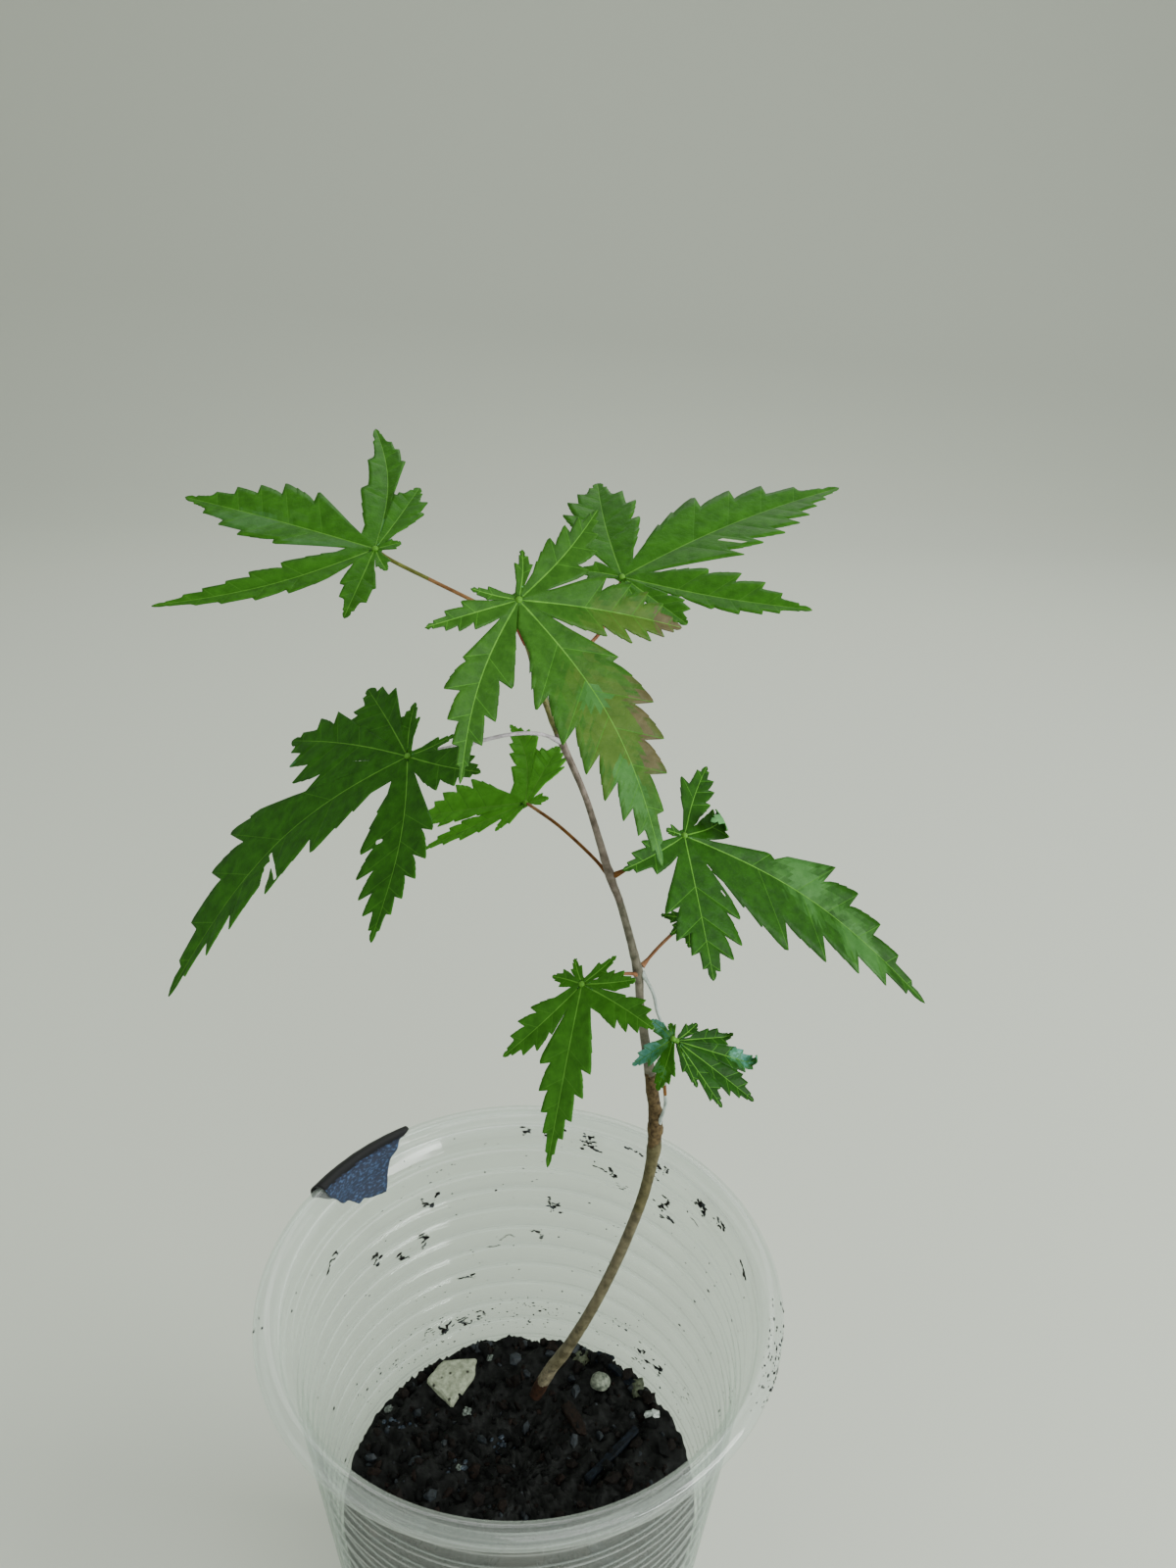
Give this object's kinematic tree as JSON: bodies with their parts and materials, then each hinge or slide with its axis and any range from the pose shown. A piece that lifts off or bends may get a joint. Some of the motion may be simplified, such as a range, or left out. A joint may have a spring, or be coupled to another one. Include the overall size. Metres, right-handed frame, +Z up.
{
  "type": "potted japanese maple seedling",
  "caption": "Young Japanese maple with deeply cut, toothed leaves on a thin leaning stem, growing in a tall ribbed clear plastic cup of potting mix.",
  "frame": {"origin": "centre of the cup's flat underside", "axes": "+Z up along the cup's axis, -Y toward the viewer of the picture, +X to the viewer's right"},
  "size_m": [0.0988, 0.0884, 0.1961],
  "materials": {
    "clear_plastic": "milky clear, moulded, glossy",
    "potting_mix": "dark, moist, crumbly",
    "white_chip": "cream, speckled, matt",
    "bark_chip": "dark shredded bark, matt",
    "pebble": "grey stone, matt",
    "stem_bark": "thin grey-brown bark, slightly rough",
    "leaf": "mid-green leaf, satin, paler veins",
    "dark_tape": "black and dark blue fibrous tape, worn"
  },
  "bodies": {
    "root": {"cup": "clear_plastic", "soil": "potting_mix", "white_chip": "white_chip", "bark_strip": "bark_chip", "bark_sliver": "bark_chip", "pebble": "pebble", "stem": "stem_bark", "leaf_a": "leaf", "leaf_b": "leaf", "leaf_c": "leaf", "leaf_d": "leaf", "leaf_e": "leaf", "leaf_f": "leaf", "leaf_g": "leaf", "leaf_h": "leaf", "leaf_i": "leaf", "leaf_j": "leaf", "tape": "dark_tape"}
  },
  "joints": []
}
